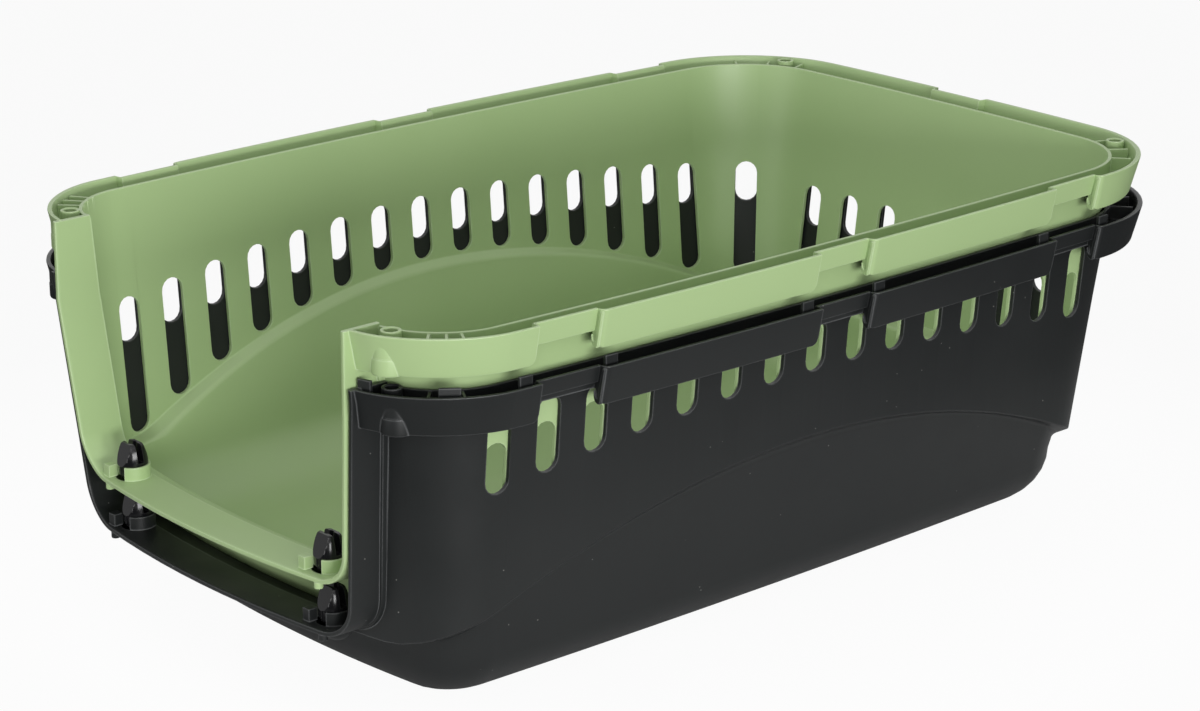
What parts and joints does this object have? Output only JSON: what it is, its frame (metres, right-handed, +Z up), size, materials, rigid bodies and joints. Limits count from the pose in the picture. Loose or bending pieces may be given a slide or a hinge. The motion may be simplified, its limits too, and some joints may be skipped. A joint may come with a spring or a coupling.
{
  "type": "pet carrier",
  "caption": "Hard plastic pet carrier taken apart for storage, its slotted roof half nested upside down in the base half.",
  "frame": {"origin": "on the ground under the middle of the carrier, at the bottom centre of its bounding box", "axes": "+Z up, +Y along the length towards the closed back wall, +X to the right seen from the door end"},
  "size_m": [0.3122, 0.4768, 0.1776],
  "materials": {
    "charcoal_plastic": "satin moulded polypropylene with a fine grain",
    "light_green_plastic": "satin moulded polypropylene, light green all through",
    "black_gloss_plastic": "smooth black nylon-like plastic"
  },
  "bodies": {
    "base": {"base_shell": "charcoal_plastic"},
    "top": {"top_shell": "light_green_plastic"},
    "base_catch_left": {"base_door_catch_left": "black_gloss_plastic"},
    "base_catch_right": {"base_door_catch_right": "black_gloss_plastic"},
    "top_catch_left": {"top_door_catch_left": "black_gloss_plastic"},
    "top_catch_right": {"top_door_catch_right": "black_gloss_plastic"}
  },
  "joints": [
    {"name": "top_lift", "type": "slide", "parent": "base", "child": "top", "axis": [0, 0, 1], "range_m": [0, 0.15]},
    {"name": "base_catch_left_turn", "type": "hinge", "parent": "base", "child": "base_catch_left", "pos_m": [-0.072, -0.21997, 0.041], "axis": [0, 0, 1], "range_deg": [-30, 30]},
    {"name": "base_catch_right_turn", "type": "hinge", "parent": "base", "child": "base_catch_right", "pos_m": [0.072, -0.21997, 0.041], "axis": [0, 0, 1], "range_deg": [-30, 30]},
    {"name": "top_catch_left_turn", "type": "hinge", "parent": "top", "child": "top_catch_left", "pos_m": [-0.072, -0.22147, 0.0646], "axis": [0, 0, 1], "range_deg": [-30, 30]},
    {"name": "top_catch_right_turn", "type": "hinge", "parent": "top", "child": "top_catch_right", "pos_m": [0.072, -0.22147, 0.0646], "axis": [0, 0, 1], "range_deg": [-30, 30]}
  ]
}
